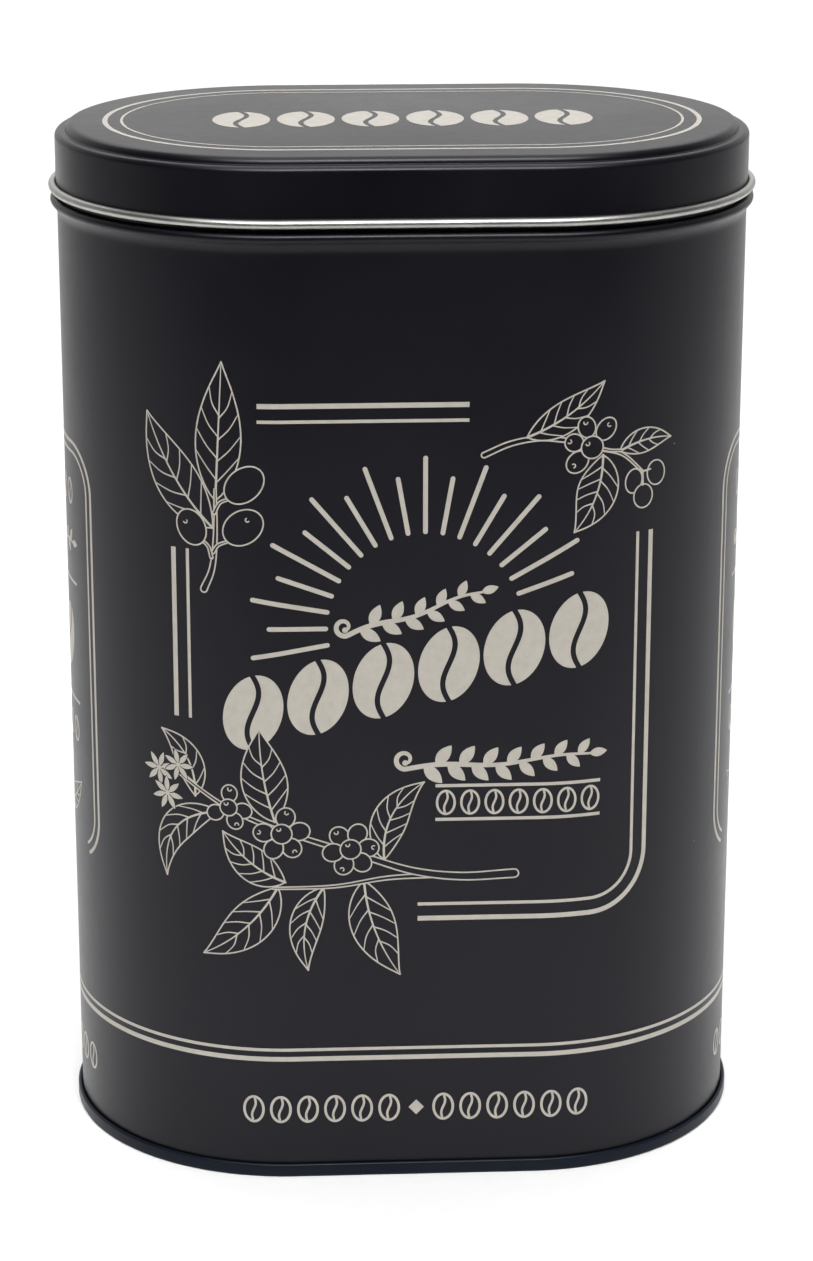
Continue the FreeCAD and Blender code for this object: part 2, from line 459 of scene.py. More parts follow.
def studio_floor(name):
    """Plain pale paper."""
    material, tree, shader, place = new_material(name)
    grain = noise(tree, place, 3.0, 4.0)
    toned = mix_colour(tree, grain, (0.83, 0.83, 0.83, 1.0), (0.86, 0.86, 0.86, 1.0))
    tree.links.new(toned, shader.inputs["Base Color"])
    shader.inputs["Roughness"].default_value = 0.9
    shader.inputs["Specular IOR Level"].default_value = 0.1
    return material


BLACK = lacquer("black_lacquer", (0.0030, 0.0027, 0.0048), 0.35)
LID_BLACK = lacquer("lid_black_lacquer", (0.0030, 0.0028, 0.0046), 0.31)
NAVY = lacquer("navy_black_lacquer", (0.0025, 0.0052, 0.0105), 0.34, 0.14)
BARE = tinplate("bare_tinplate", (0.45, 0.44, 0.42), 0.38)
INSIDE = tinplate("inside_tinplate", (0.68, 0.67, 0.65), 0.42)
CUT_EDGE = tinplate("cut_edge_steel", (0.42, 0.41, 0.40), 0.4)
CREAM = printing_ink("cream_ink", (0.46, 0.428, 0.375))
# the wall's cream ink with painted shade: darker on the lid's top to offset the stronger light that falls
# there from above
LID_CREAM_PAINTED_SHADE = printing_ink("lid_cream_ink_painted_shade", (0.39, 0.365, 0.325))
COMPOUND = compound("tan_sealing_compound")
PAPER = studio_floor("pale_paper")


# ======== The sheet parts ========


def make_body():
    """The wall: hooked at the bottom seam, beaded under the lid, necked and curled in at the mouth."""
    both_radii = BEAD_FLARE_RADIUS + BEAD_CREST_RADIUS
    flare = math.degrees(math.acos(1 - BEAD_OUT / both_radii))
    bead = [turn(BEAD_FLARE_RADIUS, -flare), turn(BEAD_CREST_RADIUS, flare + 90.0)]
    crest_out, crest_z, _ = walk((WALL_MID, BEAD_START_Z), UP, bead)[-1]
    wall_levels = [
        HOOK_LOW_Z,
        LOCK_SEAM_LOW_Z - LOCK_SEAM_FADE,
        LOCK_SEAM_LOW_Z,
        LOCK_SEAM_HIGH_Z,
        BEAD_START_Z,
    ]
    steps = [
        line(HOOK_HIGH_Z - HOOK_LOW_Z - HALF_SHEET),
        turn(LAYER, -180.0),
        *[line(high - low) for low, high in zip(wall_levels, wall_levels[1:])],
        *bead,
        line(crest_out - NECK_BEND_RADIUS - NECK_MID),
        turn(NECK_BEND_RADIUS, -90.0),
        line(MOUTH_CURL_Z - crest_z - NECK_BEND_RADIUS),
        turn(MOUTH_CURL_RADIUS, MOUTH_CURL_ANGLE),
    ]
    walked = walk((BODY_HOOK_MID, HOOK_HIGH_Z - HALF_SHEET), DOWN, steps)

    def relief(u, z, index):
        inside = index < len(walked)
        return lock_seam_relief(u, z, LOCK_SEAM_INSIDE if inside else LOCK_SEAM_OUTSIDE)

    materials = [INSIDE, BLACK, CUT_EDGE]
    piece = sheet_part("printed_body_sheet", walked, BODY_STATIONS, materials, True, relief)
    place_piece(piece, "tin", "body_lacquer", "body_shell")


def make_bottom_end():
    """The bottom: hooked round the body's hook, countersunk, with a panel that steps down."""
    step_angle = math.degrees(math.acos(1 - PANEL_DROP / (2 * PANEL_STEP_RADIUS)))
    hook_tip_z = HOOK_LOW_Z + HALF_SHEET
    steps = [
        line(HOOK_HIGH_Z - hook_tip_z),
        turn(LAYER, -180.0),
        line(HOOK_HIGH_Z - FOOT_RADIUS - HALF_SHEET),
        turn(FOOT_RADIUS, -90.0),
        line(FOOT_FLAT),
        turn(FOOT_RADIUS, -90.0),
        line(PANEL_LIFT - PANEL_CORNER_RADIUS - FOOT_RADIUS - HALF_SHEET),
        turn(PANEL_CORNER_RADIUS, 90.0),
        line(PANEL_RIM_WIDTH),
        turn(PANEL_STEP_RADIUS, step_angle),
        turn(PANEL_STEP_RADIUS, -step_angle),
    ]
    walked = walk((END_HOOK_MID, hook_tip_z), UP, steps)
    turned_back = [(out, z, direction + math.pi) for out, z, direction in walked[::-1]]
    piece = sheet_part("lacquered_bottom_end", turned_back, STATIONS, [INSIDE, NAVY, CUT_EDGE], False)
    place_piece(piece, "tin", "end_lacquer", "bottom_end")


def colour_compound():
    """The ring of compound in the bottom seam keeps its CAD shape and gets its own material."""
    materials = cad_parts["bottom_seam_compound"].data.materials
    materials.clear()
    materials.append(COMPOUND)


def make_lid():
    """The lid: raised top panel, ledge, skirt and rolled edge, drawn from one sheet."""
    ledge_z = TIN_HEIGHT - STEP_RISE - HALF_SHEET
    slope = math.radians(STEP_ANGLE)
    both_radii = STEP_FOOT_RADIUS + STEP_TOP_RADIUS
    ramp = (STEP_RISE - both_radii * (1 - math.cos(slope))) / math.sin(slope)
    step_run = both_radii * math.sin(slope) + ramp * math.cos(slope)
    panel_out = SKIRT_MID - LID_CORNER_RADIUS - LEDGE_WIDTH - step_run
    steps = [
        turn(STEP_TOP_RADIUS, -STEP_ANGLE),
        line(ramp),
        turn(STEP_FOOT_RADIUS, STEP_ANGLE),
        line(LEDGE_WIDTH),
        turn(LID_CORNER_RADIUS, -90.0),
        line(ledge_z - LID_CORNER_RADIUS - LID_CURL_Z),
        turn(LID_CURL_RADIUS, LID_CURL_ANGLE),
    ]
    walked = walk((panel_out, TIN_HEIGHT - HALF_SHEET), OUTWARD, steps)
    piece = sheet_part("printed_lid_sheet", walked, STATIONS, [LID_BLACK, BARE, CUT_EDGE], False)
    place_piece(piece, "lid", "lid_lacquer", "lid")


# ======== Flat artwork ========

# shares of a leaf's length
LEAF_WIDEST = 0.43
FIRST_VEIN = 0.13
VEIN_SPAN = 0.62  # from the first vein to past the last
VEIN_STAGGER = 0.09  # of one side's veins from the other's
VEIN_REACH = 0.2

PETALS = 7
SPLIT_WAVE = 0.2  # share of a bean's half width
GARLAND_WAVE = 0.45
CDT_TRIANGLES = 0  # delaunay_2d_cdt's output type for triangles
MERGE_DISTANCE = 1e-4  # points of the artwork nearer than this are one


def smooth_path(points, steps):
    """A smooth line through the points (a Catmull-Rom spline), with that many steps to each stretch."""
    knots = [np.array(p, float) for p in points]
    knots = [2 * knots[0] - knots[1], *knots, 2 * knots[-1] - knots[-2]]
    path = []
    for a, b, c, d in zip(knots, knots[1:], knots[2:], knots[3:]):
        for t in np.arange(steps) / steps:
            squared = (2 * a - 5 * b + 4 * c - d) * t**2
            cubed = (3 * b - a - 3 * c + d) * t**3
            path.append(0.5 * (2 * b + (c - a) * t + squared + cubed))
    path.append(knots[-2])
    return np.array(path)


def normals_of(path, closed=False):
    """Unit normals to the left of a path."""
    if closed:
        along = np.roll(path, -1, 0) - np.roll(path, 1, 0)
    else:
        along = np.gradient(path, axis=0)
    along /= np.linalg.norm(along, axis=1)[:, None]
    return np.column_stack([-along[:, 1], along[:, 0]])


def pointing(degrees):
    """The unit vector in a direction."""
    angle = math.radians(degrees)
    return np.array([math.cos(angle), math.sin(angle)])


def heading_of(facing):
    """The direction of a vector, in degrees."""
    return math.degrees(math.atan2(facing[1], facing[0]))


def turning(degrees):
    """The matrix that turns rows of points by an angle, when they are multiplied by it."""
    c, s = pointing(degrees)
    return np.array([[c, s], [-s, c]])


def ellipse(centre, across, up, tilt, steps, start=0.0, sweep=360.0):
    """Points of an ellipse, or part of one, turned by tilt degrees. across and up are its half axes."""
    full = sweep == 360.0
    angles = np.radians(start + sweep * np.arange(steps + (not full)) / steps)
    points = np.column_stack([across * np.cos(angles), up * np.sin(angles)])
    return points @ turning(tilt) + np.array(centre, float)


def wrapped_round(points):
    """The corners of the convex outline round the points, anticlockwise."""
    points = sorted(tuple(p) for p in points)
    outline = []
    for run in (points, points[::-1]):
        chain = []
        for p in run:
            while len(chain) > 1 and turns_right(chain[-2], chain[-1], p):
                chain.pop()
            chain.append(p)
        outline += chain[:-1]
    return outline


def turns_right(a, b, c):
    """Whether the way from a by b to c doesn't turn left."""
    return (b[0] - a[0]) * (c[1] - a[1]) - (b[1] - a[1]) * (c[0] - a[0]) <= 0


class Artwork:
    """Flat shapes laid one over another, each inked or clear: a clear shape hides the ink under it."""

    def __init__(self):
        self.shapes = []

    def shape(self, points, inked):
        points = np.array(points, float)
        ahead = np.roll(points, -1, 0)
        if np.sum(points[:, 0] * ahead[:, 1] - ahead[:, 0] * points[:, 1]) < 0:
            points = points[::-1]
        self.shapes.append((points, inked))

    def fill(self, points):
        self.shape(points, True)

    def clear(self, points):
        self.shape(points, False)

    def stroke(self, path, width, closed=False, inked=True, round_ends=True):
        """A line along a path, as wide as width, which is one number or one for each point."""
        path = np.array(path, float)
        half = np.broadcast_to(np.asarray(width, float) / 2, len(path))[:, None]
        normals = normals_of(path, closed)
        left = path + normals * half
        right = path - normals * half
        for k in range(len(path) if closed else len(path) - 1):
            n = (k + 1) % len(path)
            self.shape(wrapped_round([right[k], right[n], left[n], left[k]]), inked)
        if closed or not round_ends:
            return
        for end, way in ((0, 1.0), (-1, -1.0)):
            radius = float(half[end, 0])
            facing = heading_of(way * normals[end])
            self.shape(ellipse(path[end], radius, radius, facing, 8, 0.0, 180.0), inked)

    # ---- motifs ----

    def leaf(self, base, tip, width, bend, veins):
        """A pointed leaf in outline, with a midrib and side veins, bowed by bend, a share of its length."""
        base, tip = np.array(base, float), np.array(tip, float)
        axis = tip - base
        side = np.array([-axis[1], axis[0]])

        def rib(t):
            t = np.asarray(t, float)[..., None]
            return base + axis * t + side * bend * 4 * t * (1 - t)

        samples = np.linspace(0, 1, 41)
        across = normals_of(rib(samples))

        def edge(t, way):
            t = np.asarray(t, float)
            swell = (t / LEAF_WIDEST) ** (2 * LEAF_WIDEST)
            swell *= ((1 - t) / (1 - LEAF_WIDEST)) ** (2 - 2 * LEAF_WIDEST)
            facing = np.column_stack([np.interp(t, samples, across[:, k]) for k in (0, 1)])
            return rib(t) + way * facing * (width / 2 * swell)[:, None]

        t = np.linspace(0, 1, 25)
        left, right = edge(t, 1), edge(t, -1)
        self.clear(np.concatenate([left, right[-2:0:-1]]))
        for count in range(veins):
            for way in (1, -1):
                root = FIRST_VEIN + (VEIN_SPAN * count + VEIN_STAGGER * (way > 0)) / veins
                end = edge([root + VEIN_REACH], way)[0]
                beside = edge([root + 0.6 * VEIN_REACH], way)[0]
                middle = (rib(root + VEIN_REACH / 4) + beside) / 2
                vein = smooth_path([rib(root), middle, end], 5)
                self.stroke(vein, np.linspace(FINE_LINE, VEIN_LINE, len(vein)))
        for outline in (left, right):
            self.stroke(outline, FINE_LINE)
        self.stroke(rib(np.linspace(0, 0.97, 20)), np.linspace(0.45, VEIN_LINE, 20))

    def berry(self, centre, across, up, tilt, mark=None):
        """A ripe berry in outline. mark is the direction, in degrees, of its little crown."""
        outline = ellipse(centre, across, up, tilt, 36)
        self.clear(outline)
        self.stroke(outline, FINE_LINE, closed=True)
        if mark is not None:
            spot = np.array(centre) + 0.55 * min(across, up) * pointing(mark)
            self.stroke(ellipse(spot, 0.36, 0.36, mark, 8, 60.0, 200.0), 0.24)

    def stem(self, points, start_width, end_width):
        """A woody stem: two lines with a clear space between them, and a rounded end where it was cut."""
        path = smooth_path(points, 8)
        half = np.linspace(start_width, end_width, len(path))[:, None] / 2
        normals = normals_of(path)
        self.stroke(path, half[:, 0] * 2, inked=False, round_ends=False)
        for way in (1, -1):
            self.stroke(path + way * normals * half, FINE_LINE)
        radius = start_width / 2
        self.stroke(ellipse(path[0], radius, radius, heading_of(normals[0]), 6, 0.0, 180.0), FINE_LINE)

    def blossom(self, centre, size, turned):
        """A small open flower of solid pointed petals, each with a clear edge round it."""
        for k in range(PETALS):
            angle = turned + 360.0 / PETALS * k
            middle = np.array(centre) + pointing(angle) * size * 0.56
            self.clear(almond(middle, size * 1.06, size * 0.46, angle))
            self.fill(almond(middle, size * 0.94, size * 0.32, angle))
        self.fill(ellipse(centre, size * 0.14, size * 0.14, 0, 10))

    def bean(self, centre, across, up, split, slope=0.0, tilt=0.0, outline=None):
        """A coffee bean with a waving split. It is solid, or drawn with a line if outline gives a width.
        slope lifts the bean towards the right, as slanted lettering is."""
        centre = np.array(centre, float)

        def sheared(points):
            return np.column_stack([points[:, 0], points[:, 1] + slope * points[:, 0]]) + centre

        rise = np.linspace(-1.02, 1.02, 21)
        wave = np.column_stack([SPLIT_WAVE * across * np.sin(math.pi * rise) / 2, rise * up / 2])
        wave = sheared(wave @ turning(tilt))
        body = sheared(ellipse((0, 0), across / 2, up / 2, 0, 48) @ turning(tilt))
        if outline:
            self.stroke(body, outline, closed=True)
            self.stroke(wave[2:-2], split)
        else:
            self.fill(body)
            self.stroke(wave, split, inked=False)

    def diamond(self, centre, across, up):
        """A small solid lozenge."""
        x, y = centre
        self.fill([(x - across / 2, y), (x, y - up / 2), (x + across / 2, y), (x, y + up / 2)])

    def bean_row(self, centre, count, pitch, across, up, line_width, middle_diamond=False):
        """An even row of outlined beans, with a diamond in place of the middle one if middle_diamond."""
        for k in range(count):
            place = (centre[0] + pitch * (k - (count - 1) / 2), centre[1])
            if middle_diamond and k == count // 2:
                self.diamond(place, across * 0.8, up * 0.6)
            else:
                self.bean(place, across, up, line_width * 0.9, outline=line_width)

    def garland(self, start, end, curl, leaf_length, leaf_width, count):
        """A bold sprig of solid leaves along a slightly waving line that begins in a curl at its left."""
        start, end = np.array(start, float), np.array(end, float)
        length = np.linalg.norm(end - start)
        along = (end - start) / length
        across = np.array([-along[1], along[0]])

        def middle_line(t):
            return start + (end - start) * t + across * GARLAND_WAVE * np.sin(3 * math.pi * t)

        spiral = []
        for radius, angle in zip(np.linspace(0.35, 1.0, 30) * curl, np.linspace(-450.0, -98.0, 30)):
            c, s = pointing(angle)
            spiral.append(start + across * curl + radius * (along * c + across * s))
        path = np.concatenate([spiral, middle_line(np.linspace(0, 1, 50)[1:, None])])
        spread = np.arange(len(path)) / (len(path) - 1)
        self.stroke(path, np.interp(spread, [0, 0.3, 0.55, 1], [0.55, 0.95, 0.95, 0.45]))
        self.fill(ellipse(path[0], 0.55, 0.55, 0, 12))
        for k in range(count):
            share = 0.1 + 0.9 * k / (count - 1)
            way = 1 if k % 2 else -1
            lean = 0.0 if k == count - 1 else 0.85
            facing = along * math.cos(lean) + way * across * math.sin(lean)
            size = 1.0 - 0.3 * share
            leaf_middle = middle_line(share) + facing * leaf_length * size / 2
            self.fill(almond(leaf_middle, leaf_length * size, leaf_width * size, heading_of(facing)))


def almond(centre, length, width, heading):
    """Points of a solid pointed leaf."""
    t = np.linspace(0, 1, 13)
    swell = width / 2 * np.sin(math.pi * t**0.9) ** 0.85
    upper = np.column_stack([(t - 0.5) * length, swell])
    lower = np.column_stack([(t - 0.5) * length, -swell])
    return np.concatenate([upper, lower[-2:0:-1]]) @ turning(heading) + centre


# ---- ink from artwork ----


def triangles_of(art, cuts):
    """The inked area as flat vertices and triangles, cut along the upright lines at cuts."""
    vertices = []
    faces = []
    for points, _ in art.shapes:
        faces.append(list(range(len(vertices), len(vertices) + len(points))))
        vertices.extend(Vector(p) for p in points)
    low = min(v.y for v in vertices) - 1.0
    high = max(v.y for v in vertices) + 1.0
    left = min(v.x for v in vertices)
    right = max(v.x for v in vertices)
    edges = []
    for x in cuts:
        if left < x < right:
            edges.append((len(vertices), len(vertices) + 1))
            vertices.extend([Vector((x, low)), Vector((x, high))])
    cut = delaunay_2d_cdt(vertices, edges, faces, CDT_TRIANGLES, MERGE_DISTANCE, True)
    flat, _, triangles, _, _, owners = cut
    kept = [t for t, owner in zip(triangles, owners) if owner and art.shapes[max(owner)][1]]
    used = sorted({v for t in kept for v in t})
    renumber = {v: k for k, v in enumerate(used)}
    return [flat[v] for v in used], [[renumber[v] for v in t] for t in kept]


def ink_piece(name, art, body, place, cuts=(), ink=CREAM):
    """Raised ink: the artwork's inked area, given a thickness and put where place(x, y, rise) says."""
    flat, triangles = triangles_of(art, cuts)
    count = len(flat)
    vertices = [place(p.x, p.y, INK_RISE) for p in flat] + [place(p.x, p.y, -INK_SINK) for p in flat]
    edges = dict.fromkeys(edge for t in triangles for edge in zip(t, t[1:] + t[:1]))
    faces = triangles + [[v + count for v in t[::-1]] for t in triangles]
    faces += [[b, a, a + count, b + count] for a, b in edges if (b, a) not in edges]
    piece = make_object(name, vertices, faces, [ink])
    place_piece(piece, body, "print_ink")


def wall_ink(name, art, middle):
    """Ink on the wall, with the artwork's x = 0 at that place along it."""

    def place(x, y, rise):
        u, z = middle + x, y + PRINT_LIFT
        px, py = on_plan(u, rise + lock_seam_relief(u, z, LOCK_SEAM_OUTSIDE))
        return px, py, z

    cuts = [wrapped(u - middle) for u in BODY_STATIONS if HALF_FLAT < abs(u) < HALF_FLAT + ROUND_LENGTH]
    ink_piece(name, art, "tin", place, cuts)


def lid_ink(name, art):
    """Ink on the lid's top panel."""
    # the lid's ink is the cream with painted shade, darker than on the wall
    ink_piece(name, art, "lid", lambda x, y, rise: (x, y, TIN_HEIGHT + rise), ink=LID_CREAM_PAINTED_SHADE)


def ink_band(name, y, width):
    """A rule printed right round the wall, at that height in the artwork."""
    z = y + PRINT_LIFT
    outline = [
        (INK_RISE, z - width / 2),
        (INK_RISE, z + width / 2),
        (-INK_SINK, z + width / 2),
        (-INK_SINK, z - width / 2),
    ]

    def relief(u, height, index):
        return lock_seam_relief(u, height, LOCK_SEAM_OUTSIDE)

    vertices = carry_round(outline, BODY_STATIONS, relief)
    columns = len(BODY_STATIONS)
    faces = []
    for column in range(columns):
        beside = (column + 1) % columns
        for row in range(4):
            above = (row + 1) % 4
            faces.append((column * 4 + row, beside * 4 + row, beside * 4 + above, column * 4 + above))
    piece = make_object(name, vertices, faces, [CREAM])
    place_piece(piece, "tin", "print_ink")


# ======== The print's layout ========
# x is to the right of the middle of its face, and y up from the artwork's zero line

PANEL_SIDE = 45.0  # the thick rules' middle line
PANEL_TOP = 152.4
PANEL_FOOT = 52.6
RULE_GAP = 2.9  # thick rule to thin rule
PANEL_CORNER = 11.5
SUN_CENTRE = (2.0, 110.3)
SUN_INNER = 18.3
SUN_LONG = 32.2
SUN_SHORT = 28.7
RAY_COUNT = 18
RAY_START = 190.0  # degrees
RAY_STEP = 10.0
RAY_WIDTH = 0.88
BOLD_BEANS = 6
BOLD_PITCH = 12.1
BOLD_SLOPE = 0.25  # rise to run
BOLD_START = (-29.9, 94.0)  # the first bold bean's middle
BOLD_SPLIT = 1.0
BASE_ROW_Y = 13.5


def rounded_corner(centre, radius, start, sweep):
    """Points along the arc of a rounded corner."""
    return list(ellipse(centre, radius, radius, 0, 16, start, sweep))


def panel_rules():
    """The broken double frame round the main picture, thick rule outside and thin rule inside."""
    art = Artwork()
    for inset, width in ((0.0, THICK_RULE), (RULE_GAP, THIN_RULE)):
        side, top, foot = PANEL_SIDE - inset, PANEL_TOP - inset, PANEL_FOOT + inset
        radius = PANEL_CORNER - inset
        art.stroke([(-28.5, top), (9.9, top)], width, round_ends=False)
        art.stroke([(-side, 124.8), (-side, 92.0)], width, round_ends=False)
        corner = rounded_corner((side - radius, foot + radius), radius, 0.0, -90.0)
        art.stroke([(side, 126.8), *corner, (0.7, foot)], width, round_ends=False)
    return art


def sunburst():
    """Rays round a half circle and a little more, long and short by turns."""
    art = Artwork()
    for k in range(RAY_COUNT):
        facing = pointing(RAY_START - RAY_STEP * k)
        outer = SUN_SHORT if k % 2 else SUN_LONG
        art.stroke([np.array(SUN_CENTRE) + facing * reach for reach in (SUN_INNER, outer)], RAY_WIDTH)
    return art


def bold_beans():
    """Bold slanted beans in a rising row."""
    art = Artwork()
    for k in range(BOLD_BEANS):
        run = BOLD_PITCH * k
        place = (BOLD_START[0] + run, BOLD_START[1] + BOLD_SLOPE * run)
        art.bean(place, 11.4, 14.4, BOLD_SPLIT, slope=BOLD_SLOPE)
    return art


def upper_garland():
    """The rising sprig of solid leaves above the bold beans."""
    art = Artwork()
    art.garland((-12.4, 108.9), (12.4, 116.9), 1.75, 4.6, 2.3, 12)
    return art


def lower_garland(art):
    """The level sprig of solid leaves under the bold beans."""
    art.garland((-1.6, 82.6), (33.0, 84.7), 1.9, 5.0, 2.5, 15)


def ruled_beans():
    """A row of small outlined beans between two rules."""
    art = Artwork()
    for y in (79.2, 72.5):
        art.stroke([(4.0, y), (35.2, y)], THIN_RULE, round_ends=False)
    art.bean_row((19.6, 75.85), 7, 4.55, 3.3, 4.6, BEAN_LINE)
    return art


def left_sprig():
    """The upright sprig at the panel's top left: two leaves and three berries."""
    art = Artwork()
    art.leaf((-37.0, 129.2), (-50.2, 149.9), 9.0, 0.06, 4)
    art.leaf((-36.4, 134.4), (-34.9, 160.4), 8.6, 0.0, 4)
    art.stem([(-38.9, 117.4), (-37.2, 121.6), (-36.5, 128.0), (-36.4, 136.6)], 1.3, 0.4)
    art.stem([(-36.7, 132.0), (-35.6, 134.0), (-33.8, 134.9)], 0.6, 0.4)
    art.stem([(-37.0, 124.6), (-36.0, 126.0), (-34.2, 126.8)], 0.6, 0.4)
    art.stem([(-37.3, 123.6), (-37.9, 125.6), (-39.2, 126.8)], 0.6, 0.4)
    art.berry((-31.0, 137.6), 4.2, 3.0, 42.0)
    art.berry((-31.3, 129.6), 4.1, 3.1, 36.0, 60.0)
    art.berry((-41.2, 129.0), 2.8, 3.5, 28.0, 140.0)
    return art


def right_sprig():
    """The leaning sprig at the panel's top right: three leaves and two bunches of berries."""
    art = Artwork()
    art.stem([(12.6, 142.9), (17.5, 145.0), (23.0, 145.9), (29.0, 145.2)], 1.0, 0.8)
    art.leaf((20.4, 146.1), (34.7, 156.1), 5.8, -0.06, 4)
    art.leaf((38.0, 142.6), (49.3, 143.9), 4.6, 0.08, 3)
    art.leaf((34.6, 142.2), (29.3, 127.9), 7.8, 0.1, 4)
    art.stem([(34.0, 143.4), (38.6, 141.9), (42.8, 138.2)], 0.6, 0.4)
    art.stem([(34.0, 143.5), (36.2, 142.9), (38.4, 142.7)], 0.5, 0.4)
    art.berry((45.9, 137.6), 2.0, 2.35, 8.0)
    art.berry((41.0, 136.6), 1.75, 2.3, -10.0)
    art.berry((43.1, 133.5), 2.05, 2.25, 0.0)
    stalks = (
        ((43.0, 138.2), (44.6, 138.4)),
        ((42.8, 138.4), (41.4, 138.9)),
        ((42.9, 138.0), (43.0, 135.6)),
    )
    for stalk in stalks:
        art.stroke(stalk, 0.34)
    centre = (32.5, 143.8)
    round_it = (
        (163.0, 3.6, 1.75, 1.65),
        (223.0, 3.8, 2.3, 1.85),
        (106.0, 4.0, 2.0, 1.65),
        (51.0, 4.2, 2.3, 1.75),
    )
    for angle, reach, along, wide in round_it:
        art.berry(np.array(centre) + reach * pointing(angle), along, wide, angle, angle)
    art.berry(centre, 2.1, 2.1, 0.0, 140.0)
    return art


def berry_bunch(art, centre, size, angles):
    """A round bunch: berries at the angles round one in the middle, every other one with its crown."""
    for k, angle in enumerate(angles):
        spot = np.array(centre) + pointing(angle) * size * 1.72
        art.berry(spot, size * 1.02, size * 0.92, angle, None if k % 2 else angle)
    art.berry(centre, size, size, 0.0, 120.0)


def low_branch(art):
    """The long branch across the panel's bottom left: leaves, bunches of berries and blossoms."""
    art.leaf((-41.4, 76.6), (-48.4, 89.0), 5.6, -0.16, 3)
    art.leaf((-26.0, 72.5), (-28.8, 90.8), 8.6, 0.04, 4)
    art.leaf((-36.8, 74.0), (-47.8, 59.6), 6.2, -0.24, 4)
    art.leaf((-5.6, 64.6), (1.9, 80.0), 6.6, 0.15, 4)
    art.leaf((-24.2, 60.4), (-36.0, 70.2), 6.8, 0.08, 4)
    art.leaf((-25.6, 59.4), (-40.2, 45.0), 8.0, 0.08, 4)
    art.leaf((-17.0, 59.2), (-20.0, 42.4), 6.0, -0.12, 4)
    art.leaf((-9.4, 60.4), (-2.6, 41.2), 8.4, -0.07, 4)
    art.stem([(4.0, 61.3), (-5.0, 60.9), (-15.0, 59.4), (-26.5, 59.2)], 0.9, 0.4)
    main_stem = [(18.9, 61.4), (9.0, 61.0), (0.0, 62.2), (-9.0, 65.2)]
    main_stem += [(-20.0, 69.0), (-33.5, 74.2), (-44.6, 80.6)]
    art.stem(main_stem, 1.7, 0.5)
    berry_bunch(art, (-34.8, 75.0), 1.65, (86.0, -10.0, -65.0, 205.0))
    berry_bunch(art, (-24.8, 70.1), 1.95, (77.0, 8.0, -56.0, -117.0, 176.0))
    berry_bunch(art, (-11.9, 66.8), 1.95, (128.0, 67.0, 4.0, -52.0, -112.0, 190.0))
    art.blossom((-49.2, 80.9), 3.3, 20.0)
    art.blossom((-44.9, 82.2), 3.1, 50.0)
    art.blossom((-47.4, 76.2), 3.3, -10.0)


def side_rules():
    """The double frame on a round end, open at its foot."""
    art = Artwork()
    for side, top, foot, width in ((21.6, 138.6, 56.0, 0.72), (19.8, 136.7, 58.0, SIDE_RULE)):
        radius = side - 12.6
        path = [
            *rounded_corner((radius - side, foot + radius), radius, 240.0, -60.0),
            *rounded_corner((radius - side, top - radius), radius, 180.0, -90.0),
            *rounded_corner((side - radius, top - radius), radius, 90.0, -90.0),
            *rounded_corner((side - radius, foot + radius), radius, 0.0, -60.0),
        ]
        art.stroke(path, width)
    return art


def side_ornament():
    """What the frame on a round end holds: beans, rules, a sprig of solid leaves and a berry sprig."""
    art = Artwork()
    art.bean_row((0.0, 128.5), 5, 5.2, 3.4, 4.8, BEAN_LINE)
    art.garland((-10.6, 116.4), (11.4, 118.4), 1.5, 4.2, 2.0, 11)
    for y in (110.6, 86.6):
        art.stroke([(-13.5, y), (13.5, y)], SIDE_RULE, round_ends=False)
    for x, tilt in ((-5.2, 24.0), (5.2, -24.0)):
        art.bean((x, 98.6), 9.6, 14.0, 0.9, tilt=tilt)
    art.bean_row((0.0, 80.6), 5, 5.2, 3.4, 4.8, BEAN_LINE)
    art.leaf((-0.6, 63.4), (-13.0, 70.4), 5.0, 0.08, 4)
    art.leaf((0.6, 63.4), (13.0, 70.4), 5.0, -0.08, 4)
    art.stem([(0.0, 54.6), (0.3, 58.6), (0.0, 64.4)], 1.0, 0.6)
    for spot, mark in (((-2.6, 67.4), 120.0), ((2.6, 67.4), 60.0), ((0.0, 64.0), 90.0)):
        art.berry(spot, 2.2, 2.4, 0.0, mark)
    return art


def lid_rules():
    """The two obround rules near the edge of the lid's top."""
    art = Artwork()
    for inset, width in ((9.3, THICK_RULE), (12.4, 0.5)):
        radius = WALL_RADIUS - inset
        right = ellipse((HALF_FLAT, 0.0), radius, radius, 0, 64, -90.0, 180.0)
        left = ellipse((-HALF_FLAT, 0.0), radius, radius, 0, 64, 90.0, 180.0)
        art.stroke(np.concatenate([right, left]), width, closed=True)
    return art


def lid_beans():
    """Bold upright beans across the lid."""
    art = Artwork()
    for k in range(BOLD_BEANS):
        art.bean((BOLD_PITCH * (k - (BOLD_BEANS - 1) / 2), -0.8), 10.8, 17.0, BOLD_SPLIT)
    return art


def base_row(count, x=0.0):
    """Small outlined beans on both sides of a diamond, on the band round the foot."""
    art = Artwork()
    art.bean_row((x, BASE_ROW_Y), count, 5.2, 3.7, 5.2, 0.5, middle_diamond=True)
    return art


